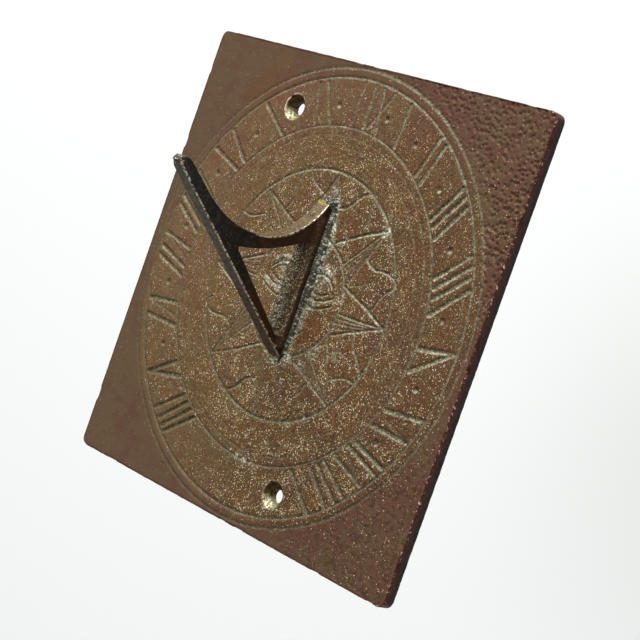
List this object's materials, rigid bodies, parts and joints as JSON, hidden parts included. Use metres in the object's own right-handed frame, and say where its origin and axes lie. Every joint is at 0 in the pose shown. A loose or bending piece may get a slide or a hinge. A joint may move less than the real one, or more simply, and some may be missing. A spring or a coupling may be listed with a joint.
{
  "type": "sundial",
  "caption": "Square cast horizontal sundial plate with engraved hour rings, a sun medallion, two countersunk screw holes and a pierced triangular gnomon.",
  "frame": {"origin": "middle of the plate's back face, where it lies on its pedestal", "axes": "+Z out of the dial face, +Y to the noon mark (true north when it is set up), +X to the afternoon side (east)"},
  "size_m": [0.152, 0.15, 0.0685],
  "materials": {
    "plate_bronze": "brown patina, rubbed to gold on the high grains, green in the grooves",
    "gnomon_bronze": "smooth dark brown patina, worn grey along the style",
    "solder": "rough dull grey-green"
  },
  "bodies": {
    "root": {"dial_plate": "plate_bronze", "gnomon": "gnomon_bronze", "solder_run": "solder"}
  },
  "joints": []
}
